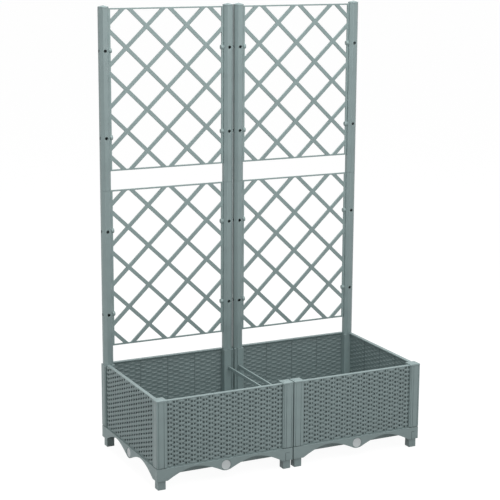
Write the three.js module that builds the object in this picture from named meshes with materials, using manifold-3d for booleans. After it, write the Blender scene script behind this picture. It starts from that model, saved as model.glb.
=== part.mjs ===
// Planter with trellis: two square plastic planter boxes side by side. Each box has a scalloped
// base on four feet, grooved corner posts and basket-weave panels. The back posts carry two
// stacked eight-sided tubes each, with a diamond lattice between them on both levels.
// Millimetres, +Z up. The origin is on the floor, in the middle of the footprint, front towards -Y.

import * as THREE from 'three';
import { mergeVertices } from 'three/addons/utils/BufferGeometryUtils.js';
import Module from 'manifold-3d';

const wasm = await Module();
wasm.setup();

// ---------------------------------------------------------------- driving sizes

const fit = 0.3; // clearance of pieces that seat in or stand on one another
const overcut = 1; // how far a cutter runs past the surface it cuts
const discSides = 12; // sides of a plug's disc and its seat
const stemSides = 8; // sides of stems and bosses
const holeSides = 6; // sides of small holes and pegs

const boxWidth = 398.5; // one box, along X
const boxDepth = 400; // one box, along Y
const boxGap = 3; // between the two boxes

const footSide = 22;
const footHeight = 25;
const footInset = 4.5; // foot side to the outer face of the base
const footPegSide = 12;
const footPegLength = 12;

const baseHeight = 34; // scalloped base, from the feet up to the posts
const baseEdgeChamfer = 1.5;
const skirtWall = 3;
const ledgeThickness = 2.8;
const wellInset = 25; // outer face of the base to the wall of the sunken tray
const wellWall = 3;
const wellFloorLift = 10; // tray floor above the lower edge of the base
const wellFloorThickness = 2.6;
const drainHoleRadius = 4.5;
const drainHoleOffset = 95; // outer drain holes from the middle of the tray

const archCrownRise = 28; // crown of a scallop above the lower edge of the base
const archCrownOffset = 88; // crown from the middle of the side
const bossTipRise = 1.8; // tongue round the plug, above the lower edge of the base
const bossShoulderRise = 6;
const bossShoulderOffset = 16;

const plugHeight = 41.5; // plug centre above the floor
const plugDiscRadius = 13.3;
const plugDiscThickness = 3;
const plugRecess = 1.2; // plug face behind the outer face of the base
const plugStemRadius = 5;
const plugStemLength = 20;
const bossRim = 1; // wall of the boss outside the plug disc
const bossLength = 10;
const bossTubeWall = 2.6;

const linkMarkLeft = 22.5; // shallow link recess, from the right-hand corner of a face
const linkMarkRight = 10;
const linkMarkTop = 22.5; // above the lower edge of the base
const linkMarkDepth = 0.8;
const linkKeyReach = 5; // into each base
const linkKeyDepth = 10;
const linkKeyHeight = 11;
const linkKeyLift = 12; // above the lower edge of the base

const postSide = 30;
const postHeight = 179.7; // from the base up to the cap or the trellis tube
const postFlange = 4; // stepped strip beside the panel
const postFlangeStep = 1.6;
const postEdgeChamfer = 1.2;
const fluteWidth = 1.4;
const fluteDepth = 0.9;
const fluteOffsets = [5, 20.5]; // flute centres from the outer edge of the post
const postFloor = 4;
const tenonSide = 16;
const tenonLength = 12;

const panelPlane = 7; // middle of a panel behind the outer face of the box
const panelEdge = 4.4; // thickness of a panel's edge
const panelTongue = 3; // how deep a panel reaches into the grooves of the posts
const panelSeat = 1.2; // how deep a panel reaches into the groove of the base
const panelWeb = 1.6; // smooth web behind the weave
const panelBack = 3.2; // inner face of the web, behind the middle of the panel
const panelAbovePosts = 3;
const rimHeight = 3.5;
const rimDepth = 9;
const rimFront = 2.6; // outer face of the rim, in front of the middle of the panel
const sillHeight = 2; // plain strip under the weave
const stakePitch = 17;
const strandPitch = 16.2; // one course of the weave
const strandCrest = 3.6; // in front of the middle of the panel
const strandTrough = 0.2; // in front of it too

const tubeAcross = 27.5; // eight-sided tube, across the flats
const tubeBore = 21; // bore of tubes and posts, across the flats
const tubeLength = 493.1;
const spigotLength = 32;
const spigotWall = 2.7;
const tubeFloor = 3; // where the bore narrows into the spigot
const screwHoleRadius = 4;
const screwHoleHeights = [144, 379.4]; // above the foot of each tube

const postCapRim = 5;
const postCapRise = 4.3;
const tubeCapRim = 3.7;
const tubeCapRise = 3.7;
const capPlugLength = 9;

const latticeLift = 52; // lower edge of the lattice above the foot of its tubes
const latticeDepth = 5;
const latticeRail = 5.5;
const latticeBar = 4;
const latticeStrip = 10.4; // width of a diagonal strip, square to its length
const diamondWidth = 119;
const diamondHeight = 113.5;
const latticeBossRadius = 7.2;
const latticeBossProud = 3;
const latticePegRadius = 3.4;

const tieBarWidth = 5;
const tieBarHeight = 9;
const tieBarTop = 189;
const tieBarReach = 3.6; // into the wall of each post

// ---------------------------------------------------------------- sizes that follow

const halfWidth = boxWidth / 2;
const halfDepth = boxDepth / 2;
const boxCentre = halfWidth + boxGap / 2;
const postInset = postSide / 2;
const footCentreInset = footInset + footSide / 2;
const baseTop = footHeight + baseHeight;
const postFoot = baseTop + fit;
const postTop = postFoot + postHeight;
const panelTop = postTop + panelAbovePosts;
const tubeFoot = postTop + fit;
const tubePitch = tubeLength + fit;
const tubeSpacing = boxWidth - postSide;
const latticeHeight = tubeLength - fit - latticeLift;
const spigotAcross = tubeBore - 2 * fit;
const grooveWidth = panelEdge + 2 * fit;
const plugBoreRadius = plugStemRadius + fit;
const plugSeatRadius = plugDiscRadius + fit;

// ---------------------------------------------------------------- materials

function plastic(name, color, roughness) {
  return new THREE.MeshStandardMaterial({ name, color, roughness, metalness: 0 });
}

const framePlastic = plastic('frame_plastic', 0x8b9b9b, 0.55);
const basePlastic = plastic('base_plastic', 0x869696, 0.6);
const weavePlastic = plastic('weave_plastic', 0x859393, 0.6);
const latticePlastic = plastic('lattice_plastic', 0x8c9c9c, 0.55);
const plugPlastic = plastic('plug_plastic', 0xb6bcbe, 0.5);

// ---------------------------------------------------------------- shapes

const point = (x, y) => new THREE.Vector2(x, y);

// A box between two corners.
function block(x0, x1, y0, y1, z0, z1) {
  const geometry = new THREE.BoxGeometry(x1 - x0, y1 - y0, z1 - z0);
  return geometry.translate((x0 + x1) / 2, (y0 + y1) / 2, (z0 + z1) / 2);
}

// A square column centred on x, y.
function column(x, y, side, z0, z1) {
  return block(x - side / 2, x + side / 2, y - side / 2, y + side / 2, z0, z1);
}

// A plan outline raised from z0 to z1.
function raised(outline, z0, z1) {
  const options = { depth: z1 - z0, bevelEnabled: false };
  return new THREE.ExtrudeGeometry(new THREE.Shape(outline), options).translate(0, 0, z0);
}

// A front outline, drawn as (along the side, up), reaching from y0 back to y1.
function facing(outline, y0, y1) {
  const options = { depth: y1 - y0, bevelEnabled: false };
  const geometry = new THREE.ExtrudeGeometry(new THREE.Shape(outline), options);
  return geometry.rotateX(Math.PI / 2).translate(0, y1, 0);
}

// Round bars along each axis.
function roundAlongY(radius, sides, z, y0, y1) {
  const geometry = new THREE.CylinderGeometry(radius, radius, y1 - y0, sides);
  return geometry.translate(0, (y0 + y1) / 2, z);
}

function roundAlongX(radius, sides, z, x0, x1) {
  const geometry = new THREE.CylinderGeometry(radius, radius, x1 - x0, sides);
  return geometry.rotateZ(Math.PI / 2).translate((x0 + x1) / 2, 0, z);
}

function roundUp(radius, sides, x, y, z0, z1) {
  const geometry = new THREE.CylinderGeometry(radius, radius, z1 - z0, sides);
  return geometry.rotateX(Math.PI / 2).translate(x, y, (z0 + z1) / 2);
}

// A rectangle with its four corners cut off.
function chamferedRectangle(halfX, halfY, chamfer) {
  return [
    point(-halfX + chamfer, -halfY), point(halfX - chamfer, -halfY),
    point(halfX, -halfY + chamfer), point(halfX, halfY - chamfer),
    point(halfX - chamfer, halfY), point(-halfX + chamfer, halfY),
    point(-halfX, halfY - chamfer), point(-halfX, -halfY + chamfer),
  ];
}

// A regular octagon with a flat towards each side.
function octagon(across) {
  const half = across / 2;
  return chamferedRectangle(half, half, half * (2 - Math.SQRT2));
}

// ---------------------------------------------------------------- joining and cutting

function solidOf(geometry) {
  const bare = geometry.clone();
  bare.deleteAttribute('normal');
  bare.deleteAttribute('uv');
  const merged = mergeVertices(bare, 1e-4);
  const corners = merged.index.array;
  const triangles = [];
  for (let i = 0; i < corners.length; i += 3) {
    const [a, b, c] = corners.slice(i, i + 3);
    if (a !== b && b !== c && c !== a) triangles.push(a, b, c);
  }
  return new wasm.Manifold(new wasm.Mesh({
    numProp: 3,
    vertProperties: new Float32Array(merged.attributes.position.array),
    triVerts: new Uint32Array(triangles),
  }));
}

// All the pieces joined, less all the cutters. Pieces are geometries or earlier results.
function shaped(pieces, cutters = []) {
  const toSolid = (piece) => (piece.isBufferGeometry ? solidOf(piece) : piece);
  const whole = pieces.map(toSolid).reduce((sum, solid) => sum.add(solid));
  return cutters.map(toSolid).reduce((rest, solid) => rest.subtract(solid), whole);
}

function geometryOf(solid) {
  const mesh = solid.getMesh();
  const geometry = new THREE.BufferGeometry();
  geometry.setAttribute('position', new THREE.BufferAttribute(mesh.vertProperties, 3));
  geometry.setIndex(new THREE.BufferAttribute(mesh.triVerts, 1));
  geometry.computeVertexNormals();
  return geometry;
}

// ---------------------------------------------------------------- base

// The sides of a box as quarter turns from the front, with how far out and how long each is.
const FRONT = { turn: 0, out: halfDepth, along: halfWidth };
const RIGHT = { turn: 1, out: halfWidth, along: halfDepth };
const BACK = { turn: 2, out: halfDepth, along: halfWidth };
const LEFT = { turn: 3, out: halfWidth, along: halfDepth };
const SIDES = [FRONT, RIGHT, BACK, LEFT];

function onSides(sides, makeGeometry) {
  return sides.map((side) => makeGeometry(side).rotateZ(side.turn * Math.PI / 2));
}

// Everything under the scalloped edge of one side: a leg at each end, a tongue round the plug
// in the middle, and an ogee arch on both sides of it.
function scallopOutline(along) {
  const low = footHeight;
  const leg = along - postSide;
  const crown = low + archCrownRise;
  const shoulder = low + bossShoulderRise;
  const tip = low + bossTipRise;
  const bossSpan = archCrownOffset - bossShoulderOffset;
  const legSpan = leg - archCrownOffset;
  const tongue = new THREE.QuadraticBezierCurve(
    point(0, tip), point(bossShoulderOffset / 2, tip), point(bossShoulderOffset, shoulder));
  const rise = new THREE.CubicBezierCurve(
    point(bossShoulderOffset, shoulder),
    point(bossShoulderOffset + 0.35 * bossSpan, low + 0.64 * archCrownRise),
    point(archCrownOffset - 0.3 * bossSpan, crown),
    point(archCrownOffset, crown));
  const fall = new THREE.CubicBezierCurve(
    point(archCrownOffset, crown),
    point(archCrownOffset + 0.36 * legSpan, crown),
    point(leg - 0.25 * legSpan, low + 0.43 * archCrownRise),
    point(leg, low));
  const half = [
    ...tongue.getPoints(2), ...rise.getPoints(4).slice(1), ...fall.getPoints(5).slice(1),
    point(leg, low - overcut),
  ];
  const mirrored = half.slice(1).map((corner) => point(-corner.x, corner.y)).reverse();
  return [...mirrored, ...half];
}

function atCorners(inset, makeGeometry) {
  return [-1, 1].flatMap((x) => [-1, 1].map((y) => (
    makeGeometry(x * (halfWidth - inset), y * (halfDepth - inset))
  )));
}

// A moulded tray: a scalloped skirt, a ledge for posts and panels, and a sunken well with drains.
function makeBase(plugSides, linkSide) {
  const low = footHeight;
  const ledge = baseTop - ledgeThickness;
  const wellFloor = low + wellFloorLift;
  const across = (inset, z0, z1) => (
    block(inset - halfWidth, halfWidth - inset, inset - halfDepth, halfDepth - inset, z0, z1)
  );
  const skirt = shaped(
    [raised(chamferedRectangle(halfWidth, halfDepth, baseEdgeChamfer), low, baseTop)],
    [
      across(skirtWall, low - overcut, ledge),
      ...onSides(SIDES, ({ out, along }) => (
        facing(scallopOutline(along), -out - overcut, -out + skirtWall + overcut)
      )),
    ],
  );
  const cornerSide = postSide - skirtWall / 2;
  const cornerBlocks = atCorners(postSide - cornerSide / 2, (x, y) => (
    column(x, y, cornerSide, low, ledge + overcut)
  ));
  const bosses = onSides(plugSides, ({ out }) => roundAlongY(
    plugSeatRadius + bossRim, discSides, plugHeight, -out + skirtWall / 2, -out + bossLength));
  const bossTubes = onSides(plugSides, ({ out }) => roundAlongY(
    plugBoreRadius + bossTubeWall, stemSides, plugHeight, -out + skirtWall,
    -out + wellInset + overcut));
  const well = across(wellInset, wellFloor - wellFloorThickness, ledge + overcut);

  const wellHollow = across(wellInset + wellWall, wellFloor, baseTop + overcut);
  const plugSeats = onSides(plugSides, ({ out }) => roundAlongY(
    plugSeatRadius, discSides, plugHeight, -out - overcut, -out + plugRecess + plugDiscThickness + fit));
  const plugBores = onSides(plugSides, ({ out }) => roundAlongY(
    plugBoreRadius, stemSides, plugHeight, -out, -out + wellInset + wellWall + overcut));
  const panelGrooves = onSides(SIDES, ({ out, along }) => block(
    postSide - along, along - postSide,
    panelPlane - grooveWidth / 2 - out, panelPlane + grooveWidth / 2 - out,
    baseTop - panelSeat - fit, baseTop + overcut));
  const postSockets = atCorners(postInset, (x, y) => (
    column(x, y, tenonSide + 2 * fit, baseTop - tenonLength - fit, baseTop + overcut)
  ));
  const footSockets = atCorners(footCentreInset, (x, y) => (
    column(x, y, footPegSide + 2 * fit, low - overcut, low + footPegLength + fit)
  ));
  const drains = [[0, 0], [-1, -1], [1, -1], [1, 1], [-1, 1]].map(([x, y]) => roundUp(
    drainHoleRadius, holeSides, x * drainHoleOffset, y * drainHoleOffset,
    wellFloor - wellFloorThickness - overcut, wellFloor + overcut));
  const linkMarks = onSides([FRONT, BACK], ({ out, along }) => block(
    along - linkMarkLeft, along - linkMarkRight, -out - overcut, -out + linkMarkDepth,
    low - overcut, low + linkMarkTop));
  const linkPockets = [-1, 1].flatMap((end) => onSides([linkSide], ({ out, along }) => {
    const middle = end * (along - postInset);
    const half = linkKeyDepth / 2 + fit;
    return block(middle - half, middle + half, -out - overcut, -out + linkKeyReach + fit,
      low + linkKeyLift - fit, low + linkKeyLift + linkKeyHeight + fit);
  }));
  return shaped(
    [skirt, ...cornerBlocks, ...bosses, ...bossTubes, well],
    [wellHollow, ...plugSeats, ...plugBores, ...panelGrooves, ...postSockets, ...footSockets,
      ...drains, ...linkMarks, ...linkPockets],
  );
}

function makeFoot() {
  return shaped([
    column(0, 0, footSide, 0, footHeight - fit),
    column(0, 0, footPegSide, footHeight / 2, footHeight + footPegLength),
  ]);
}

// The disc and stem of a drain plug, from its face inwards along +Y.
function makePlug() {
  return shaped([
    roundAlongY(plugDiscRadius, discSides, 0, 0, plugDiscThickness),
    roundAlongY(plugStemRadius, stemSides, 0, plugDiscThickness / 2,
      plugDiscThickness + plugStemLength),
  ]);
}

function makeLinkKey() {
  const halfX = boxGap / 2 + linkKeyReach;
  const low = footHeight + linkKeyLift;
  return shaped([
    block(-halfX, halfX, -linkKeyDepth / 2, linkKeyDepth / 2, low, low + linkKeyHeight),
  ]);
}

// ---------------------------------------------------------------- posts and caps

// Plan of a post with its outer corner towards -X -Y: two fluted outer faces, a stepped strip
// beside each panel, and a panel groove in each of the two inner faces.
function postOutline() {
  const half = postSide / 2;
  const grooveFloor = half - panelTongue - fit;
  const grooveNear = panelPlane - grooveWidth / 2 - half;
  const grooveFar = panelPlane + grooveWidth / 2 - half;
  const front = [
    point(postEdgeChamfer - half, -half),
    ...fluteOffsets.flatMap((offset) => [
      point(offset - fluteWidth / 2 - half, -half),
      point(offset - half, fluteDepth - half),
      point(offset + fluteWidth / 2 - half, -half),
    ]),
    point(half - postFlange, -half),
    point(half - postFlange, postFlangeStep - half),
    point(half, postFlangeStep - half),
    point(half, grooveNear),
    point(grooveFloor, grooveNear),
    point(grooveFloor, grooveFar),
    point(half, grooveFar),
    point(half, half - postEdgeChamfer),
  ];
  const left = front.map((corner) => point(corner.y, corner.x)).reverse();
  return [...front, ...left];
}

// tieFace is the inner face that a tie bar enters: 'x', 'y' or none.
function makePost(tieFace) {
  const wall = block(-tieBarWidth / 2 - fit, tieBarWidth / 2 + fit, tubeBore / 2 - overcut,
    postSide / 2 + overcut, tieBarTop - tieBarHeight - fit, tieBarTop + fit);
  const tieSockets = { x: [wall.clone().rotateZ(-Math.PI / 2)], y: [wall], none: [] };
  return shaped(
    [
      raised(postOutline(), postFoot, postTop),
      column(0, 0, tenonSide, baseTop - tenonLength, postFoot + overcut),
    ],
    [raised(octagon(tubeBore), postFoot + postFloor, postTop + overcut), ...tieSockets[tieFace]],
  );
}

// A low pyramid on a rim, with a plug into the bore below it. It seats at height 0.
function makeCap(sides, across, rim, rise) {
  const radius = across / 2 / Math.cos(Math.PI / sides);
  const profile = [point(0, 0), point(radius, 0), point(radius, rim), point(0, rim + rise)];
  const lid = new THREE.LatheGeometry(profile, sides);
  lid.rotateX(Math.PI / 2).rotateZ(Math.PI / sides);
  return shaped([lid, raised(octagon(spigotAcross), -capPlugLength, rim / 2)]);
}

function makeTieBar() {
  const reach = halfDepth - postSide + tieBarReach;
  return shaped([
    block(-tieBarWidth / 2, tieBarWidth / 2, -reach, reach, tieBarTop - tieBarHeight, tieBarTop),
  ]);
}

// ---------------------------------------------------------------- panels

// The woven face as a closed sheet: at each crossing of a stake and a strand the surface is out
// where the strand passes over and in where it passes under, alternating like a basket weave.
function weaveSheet(half, low, high, back) {
  const columns = Math.round((2 * half) / stakePitch);
  const rows = Math.round((high - low) / strandPitch);
  const positions = [];
  const triangles = [];
  const corner = (layer, i, j) => (layer * (rows + 1) + j) * (columns + 1) + i;
  const quad = (a, b, c, d) => triangles.push(a, b, c, a, c, d);
  for (const layer of [0, 1]) {
    for (let j = 0; j <= rows; j += 1) {
      for (let i = 0; i <= columns; i += 1) {
        const inside = i > 0 && i < columns && j > 0 && j < rows;
        const front = inside && (i + j) % 2 === 0 ? strandCrest : strandTrough;
        const x = -half + (2 * half * i) / columns;
        const z = low + ((high - low) * j) / rows;
        positions.push(x, layer === 0 ? -front : back, z);
      }
    }
  }
  for (let j = 0; j < rows; j += 1) {
    for (let i = 0; i < columns; i += 1) {
      const [a, b] = [corner(0, i, j), corner(0, i + 1, j)];
      const [c, d] = [corner(0, i + 1, j + 1), corner(0, i, j + 1)];
      if ((i + j) % 2 === 0) quad(b, c, d, a);
      else quad(a, b, c, d);
      quad(corner(1, i, j), corner(1, i, j + 1), corner(1, i + 1, j + 1), corner(1, i + 1, j));
    }
  }
  for (let i = 0; i < columns; i += 1) {
    quad(corner(0, i, 0), corner(1, i, 0), corner(1, i + 1, 0), corner(0, i + 1, 0));
    quad(corner(0, i, rows), corner(0, i + 1, rows), corner(1, i + 1, rows), corner(1, i, rows));
  }
  for (let j = 0; j < rows; j += 1) {
    quad(corner(0, 0, j), corner(0, 0, j + 1), corner(1, 0, j + 1), corner(1, 0, j));
    quad(corner(0, columns, j), corner(1, columns, j),
      corner(1, columns, j + 1), corner(0, columns, j + 1));
  }
  const geometry = new THREE.BufferGeometry();
  geometry.setAttribute('position', new THREE.Float32BufferAttribute(positions, 3));
  geometry.setIndex(triangles);
  return geometry;
}

// A panel for a side of the given half length, with its weave towards -Y.
function makePanel(along) {
  const half = along - postSide - fit;
  const tongueEnd = along - postSide + panelTongue;
  const edge = panelEdge / 2;
  const webFront = panelBack - panelWeb;
  const weaveLow = postFoot + sillHeight;
  const weaveHigh = panelTop - rimHeight;
  return shaped([
    weaveSheet(half, weaveLow - overcut, weaveHigh + overcut, panelBack - panelWeb / 2),
    block(-half, half, webFront, panelBack, postFoot, weaveHigh + overcut),
    block(-tongueEnd, overcut - half, -edge, edge, postFoot, postTop),
    block(half - overcut, tongueEnd, -edge, edge, postFoot, postTop),
    block(-half, half, -edge, edge, baseTop - panelSeat, weaveLow),
    block(-half, half, -rimFront, rimDepth - rimFront, weaveHigh, panelTop),
  ]);
}

// ---------------------------------------------------------------- trellis

// An eight-sided tube with a spigot at its foot, and screw holes in its front and its sides.
function makeTube() {
  const sideHoles = screwHoleHeights.map((height) => (
    roundAlongX(screwHoleRadius, holeSides, height, -tubeAcross, tubeAcross)
  ));
  const frontHoles = screwHoleHeights.map((height) => (
    roundAlongY(screwHoleRadius, holeSides, height, -tubeAcross, 0)
  ));
  return shaped(
    [
      raised(octagon(tubeAcross), 0, tubeLength),
      raised(octagon(spigotAcross), -spigotLength, tubeFloor / 2),
    ],
    [
      raised(octagon(tubeBore), tubeFloor, tubeLength + overcut),
      raised(octagon(spigotAcross - 2 * spigotWall), -spigotLength - overcut, tubeFloor + overcut),
      ...sideHoles,
      ...frontHoles,
    ],
  );
}

// Diagonal strips in a thin frame. Bosses on the rails end in pegs that sit in the tubes' holes.
function makeLattice() {
  const half = tubeSpacing / 2 - tubeAcross / 2 - fit;
  const halfThick = latticeDepth / 2;
  const top = latticeLift + latticeHeight;
  const middle = latticeLift + latticeHeight / 2;
  const lean = Math.atan2(diamondHeight, diamondWidth);
  const reach = half / diamondWidth + latticeHeight / 2 / diamondHeight;
  const strips = [];
  for (let place = -Math.ceil(reach); place <= reach; place += 1) {
    for (const direction of [-1, 1]) {
      const length = 4 * (half + latticeHeight);
      const strip = new THREE.BoxGeometry(length, 3 * latticeDepth, latticeStrip);
      strips.push(strip.rotateY(direction * lean).translate(place * diamondWidth, 0, middle));
    }
  }
  const inside = block(latticeRail - half, half - latticeRail, -latticeDepth, latticeDepth,
    latticeLift + latticeBar, top - latticeBar);
  const openings = shaped([inside], strips);
  const grille = shaped([block(-half, half, -halfThick, halfThick, latticeLift, top)], [openings]);
  const bossEnd = half - latticeRail - latticeBossProud;
  const pegEnd = tubeSpacing / 2 - tubeBore / 2;
  const fixings = screwHoleHeights.flatMap((height) => [0, Math.PI].flatMap((turn) => [
    roundAlongX(latticeBossRadius, stemSides, height, bossEnd, half).rotateZ(turn),
    roundAlongX(latticePegRadius, holeSides, height, half - latticeRail, pegEnd).rotateZ(turn),
  ]));
  return shaped([grille, ...fixings]);
}

// ---------------------------------------------------------------- assembly

const CORNERS = [
  { name: 'front_left', x: -1, y: -1, turn: 0 },
  { name: 'front_right', x: 1, y: -1, turn: 1 },
  { name: 'back_right', x: 1, y: 1, turn: 2 },
  { name: 'back_left', x: -1, y: 1, turn: 3 },
];

const foot = geometryOf(makeFoot());
const plug = geometryOf(makePlug());
const posts = {
  none: geometryOf(makePost('none')),
  x: geometryOf(makePost('x')),
  y: geometryOf(makePost('y')),
};
const postCap = geometryOf(makeCap(4, postSide, postCapRim, postCapRise));
const tubeCap = geometryOf(makeCap(8, tubeAcross, tubeCapRim, tubeCapRise));
const tieBar = geometryOf(makeTieBar());
const frontPanel = geometryOf(makePanel(halfWidth));
const sidePanel = geometryOf(makePanel(halfDepth));
const tube = geometryOf(makeTube());
const lattice = geometryOf(makeLattice());
const linkKey = geometryOf(makeLinkKey());

function place(parent, name, geometry, material, position = [0, 0, 0], turn = 0) {
  const mesh = new THREE.Mesh(geometry, material);
  mesh.name = name;
  mesh.position.set(...position);
  mesh.rotation.z = turn * Math.PI / 2;
  parent.add(mesh);
}

function addCorner(box, name, corner, inward) {
  const x = corner.x * (halfWidth - postInset);
  const y = corner.y * (halfDepth - postInset);
  const footX = corner.x * (halfWidth - footCentreInset);
  const footY = corner.y * (halfDepth - footCentreInset);
  const tieFace = corner.x === inward ? (corner.turn % 2 === 0 ? 'y' : 'x') : 'none';
  place(box, `${name}_foot_${corner.name}`, foot, basePlastic, [footX, footY, 0]);
  place(box, `${name}_post_${corner.name}`, posts[tieFace], framePlastic, [x, y, 0], corner.turn);
  if (corner.y < 0) {
    place(box, `${name}_post_cap_${corner.name}`, postCap, framePlastic, [x, y, postTop + fit]);
    return;
  }
  const side = corner.x < 0 ? 'left' : 'right';
  const upperFoot = tubeFoot + tubePitch;
  place(box, `${name}_tube_lower_${side}`, tube, framePlastic, [x, y, tubeFoot]);
  place(box, `${name}_tube_upper_${side}`, tube, framePlastic, [x, y, upperFoot]);
  place(box, `${name}_tube_cap_${side}`, tubeCap, framePlastic, [x, y, upperFoot + tubePitch]);
}

function addPlug(box, name, side) {
  const reach = side.out - plugRecess;
  const turn = side.turn * Math.PI / 2;
  const position = [Math.sin(turn) * reach, -Math.cos(turn) * reach, plugHeight];
  place(box, name, plug, plugPlastic, position, side.turn);
}

function addPanel(box, name, side, geometry) {
  const reach = side.out - panelPlane;
  const turn = side.turn * Math.PI / 2;
  const position = [Math.sin(turn) * reach, -Math.cos(turn) * reach, 0];
  place(box, name, geometry, weavePlastic, position, side.turn);
}

// One box with its trellis. outward is -1 for the left box and 1 for the right box.
function makeBox(name, outward) {
  const box = new THREE.Group();
  box.position.x = outward * boxCentre;
  const outerSide = outward < 0 ? LEFT : RIGHT;
  const innerSide = outward < 0 ? RIGHT : LEFT;
  const latticeY = halfDepth - postInset;
  const base = geometryOf(makeBase([FRONT, BACK, outerSide], innerSide));
  place(box, `${name}_base`, base, basePlastic);
  CORNERS.forEach((corner) => addCorner(box, name, corner, -outward));
  addPlug(box, `${name}_plug_front`, FRONT);
  addPlug(box, `${name}_plug_back`, BACK);
  addPlug(box, `${name}_plug_side`, outerSide);
  addPanel(box, `${name}_panel_front`, FRONT, frontPanel);
  addPanel(box, `${name}_panel_back`, BACK, frontPanel);
  addPanel(box, `${name}_panel_side`, outerSide, sidePanel);
  place(box, `${name}_lattice_lower`, lattice, latticePlastic, [0, latticeY, tubeFoot]);
  place(box, `${name}_lattice_upper`, lattice, latticePlastic, [0, latticeY, tubeFoot + tubePitch]);
  place(box, `${name}_tie_bar`, tieBar, framePlastic, [-outward * (halfWidth - postInset), 0, 0]);
  return box;
}

const planter = new THREE.Group();
planter.name = 'planter_with_trellis';
planter.add(makeBox('left', -1), makeBox('right', 1));
const linkY = halfDepth - postInset;
place(planter, 'link_key_front', linkKey, basePlastic, [0, -linkY, 0]);
place(planter, 'link_key_back', linkKey, basePlastic, [0, linkY, 0]);

export default planter;
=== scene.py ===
"""Planter with trellis: the looks of the two grey plastic boxes and their lattice trellis.

Sizes below are in millimetres and in the shared frame: +Z up, front towards -Y. Every piece
takes its place from the CAD node that it stands for.
"""

import math

import bmesh
import bpy
import numpy as np
from mathutils import Matrix, Vector


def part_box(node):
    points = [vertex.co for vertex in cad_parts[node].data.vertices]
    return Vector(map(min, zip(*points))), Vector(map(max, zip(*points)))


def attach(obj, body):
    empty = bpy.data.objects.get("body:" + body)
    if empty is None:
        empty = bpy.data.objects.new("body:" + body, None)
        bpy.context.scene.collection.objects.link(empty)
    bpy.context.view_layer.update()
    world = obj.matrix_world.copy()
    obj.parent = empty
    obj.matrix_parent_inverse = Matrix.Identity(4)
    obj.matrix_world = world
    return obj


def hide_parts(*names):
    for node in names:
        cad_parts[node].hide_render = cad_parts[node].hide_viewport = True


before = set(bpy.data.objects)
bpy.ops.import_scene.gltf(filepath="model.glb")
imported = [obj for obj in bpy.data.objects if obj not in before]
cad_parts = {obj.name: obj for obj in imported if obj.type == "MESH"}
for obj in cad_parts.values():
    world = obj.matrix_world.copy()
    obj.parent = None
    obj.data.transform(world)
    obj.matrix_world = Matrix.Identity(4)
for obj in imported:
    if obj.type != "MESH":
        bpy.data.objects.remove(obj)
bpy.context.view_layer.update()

MM = 0.001
ROOT = "root"

# ---- detail sizes (mm)

EDGE = 0.5  # rounding of moulded edges
FINE_EDGE = 0.3
LONGEST_ROUND = 0.49  # share of an edge that the rounding of one corner takes
CUTTER_EDGE = 0.1
CLEARANCE = 0.3  # between pieces that fit into one another
OVERLAP = 1.0  # how far joined solids run into one another
PAST = 2.0  # how far a cutter runs past what it cuts
MERGE_WITHIN = 0.002  # doubled corners
TINY_EDGE = 0.001
SHARP = 35  # degrees between faces that shade apart
SQUARE_WITHIN = 1e-3
ROUND = 48  # sides of a large round
SMALL_ROUND = 32

POST_RADIUS = 1.6  # outer corner of a post
POST_FLANGE = 4.0  # stepped strip beside a panel
POST_STEP = 1.6
POST_BORE = 21.0
POST_EDGE = 0.4
POST_SEAM = 1.8  # dark joint at the foot of a post
FLUTE_WIDTH = 1.9
FLUTE_DEPTH = 1.5
FLUTES = (5.0, 20.5)  # from the outer edge of a post
SOCKET_GAP = 0.7  # round the end of a tie bar

TUBE_BORE = 21.0
TUBE_CORNER = 1.3
TUBE_EDGE = 0.6
SPIGOT_ACROSS = 20.4
SPIGOT_WALL = 2.7
SPIGOT_LENGTH = 32.0
TUBE_FLOOR = 3.0
BORE_PAST = (8.0, 5.0)  # how far the bores run past the foot and the top of a tube
SCREW_HOLE_RADIUS = 4.4
SCREW_HOLE_REACH = 8.0  # through the wall, from the surface inwards
SCREW_HOLE_CHAMFER = 0.3
SCREW_HOLES = (144.0, 379.4)  # above the foot of each tube

CAP_PLUG_DEPTH = 9.0
POST_CAP_RIM = 5.0
TUBE_CAP_RIM = 3.7
CAP_TOP = (0.9, 0.1)  # shares of a cap's rise and width where its flatter top begins
CAP_ROUND = 0.7
CAP_ROUND_FROM = 20  # degrees

LATTICE_DEPTH = 5.0
LATTICE_RAIL = 5.5
LATTICE_BAR = 4.0
LATTICE_STRIP = 10.4
DIAMOND = (119.0, 113.5)  # width and height between crossings
DIAMOND_REACH = (8, 10)  # half diamonds from the middle that can still meet the window
SMALLEST_OPENING = 30.0  # square millimetres
OPENING_CORNER = 1.0
BOSS_RADIUS = 6.6
BOSS_ROUND = 0.8
BOSS_ROUND_MIDDLE = (0.2, 0.25)  # in from the radius and from the end
BOSS_PROUD = 2.4
BOSS_SET_IN = 0.35
PEG_RADIUS = 3.4

STAKE_PITCH = 17.0
STAKE_HALF = 1.9
STAKE_TURN = 0.7  # share of the half width that has a grid line of its own
STAKE_ROUND = 0.4
STAKE_FRONT = 2.5  # in front of the middle of the panel
STRAND_PITCH = 6.05
STRAND_CREST = 3.3  # where a strand passes over a stake
STRAND_LOW = -2.0  # where it dives behind the next one
STRAND_ROUND = 0.7
PIT_ENDS = (6.3, 5.6)  # far end of the pits beside even and odd stakes, from the stake's middle
PIT_WALL = 0.5
STAKE_SHOULDER = 0.35  # rounded side of a stake, beyond its flat front
STAKE_SHOULDER_FRONT = 0.9
PIT_FLOOR = -2.8
PIT_MARGIN = 0.03  # of a strand's height, above and below a pit
PIT_PAINTED_SHADE = (1.0, 0.9)  # painted shade in the pits beside even and odd stakes
PIT_PAINTED_SHADE_FADE = 0.45  # how much the painted shade of a pit fades towards its shallow end
INNER_PAINTED_SHADE = 0.24  # painted shade over the inner face, for the shade inside the box
SHEET_BACK = 3.0  # inner face, behind the middle of the panel
SHEET_SHARP = 50  # degrees between faces of the sheet that shade apart
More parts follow.
